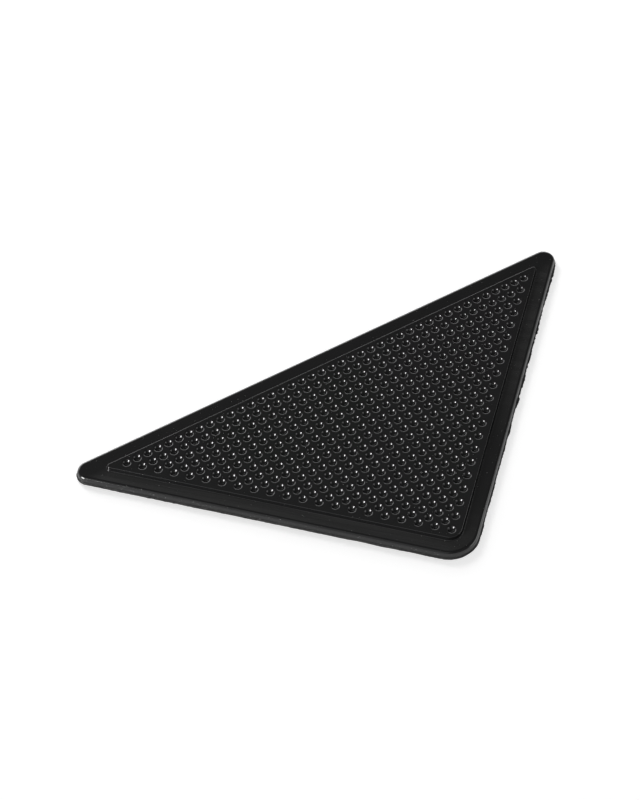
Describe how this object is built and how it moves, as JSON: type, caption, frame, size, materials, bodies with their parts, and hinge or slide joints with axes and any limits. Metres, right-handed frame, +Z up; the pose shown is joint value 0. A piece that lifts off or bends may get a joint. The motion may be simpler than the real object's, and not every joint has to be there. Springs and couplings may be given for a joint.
{
  "type": "snowboard stomp pad",
  "caption": "Right-angled triangular rubber grip pad with a raised field of small dimples, on double-sided foam tape with a split release liner.",
  "frame": {"origin": "centre of the pad's bounding box in plan, at the height of the surface that the release liner rests on", "axes": "+X along the long edge, +Z up out of the dimpled side, the right-angled corner towards -Y and the long edge towards +Y"},
  "size_m": [0.2046, 0.1044, 0.0051],
  "materials": {
    "moulded_rubber": "black moulded rubber, smooth and semi-gloss",
    "tape_foam": "black closed-cell foam with a rough die-cut edge",
    "acrylic_adhesive": "thin tacky acrylic film, dark and slightly shiny",
    "liner_paper": "siliconised kraft paper, smooth and slightly waxy"
  },
  "bodies": {
    "pad": {"traction_pad": "moulded_rubber", "pad_side_adhesive": "acrylic_adhesive", "foam_tape_carrier": "tape_foam", "board_side_adhesive": "acrylic_adhesive"},
    "liner_left": {"release_liner_left": "liner_paper"},
    "liner_right": {"release_liner_right": "liner_paper"}
  },
  "joints": [
    {"name": "peel_liner_left", "type": "slide", "parent": "pad", "child": "liner_left", "axis": [-1, 0, 0], "range_m": [0, 0.11]},
    {"name": "peel_liner_right", "type": "slide", "parent": "pad", "child": "liner_right", "axis": [1, 0, 0], "range_m": [0, 0.11]}
  ]
}
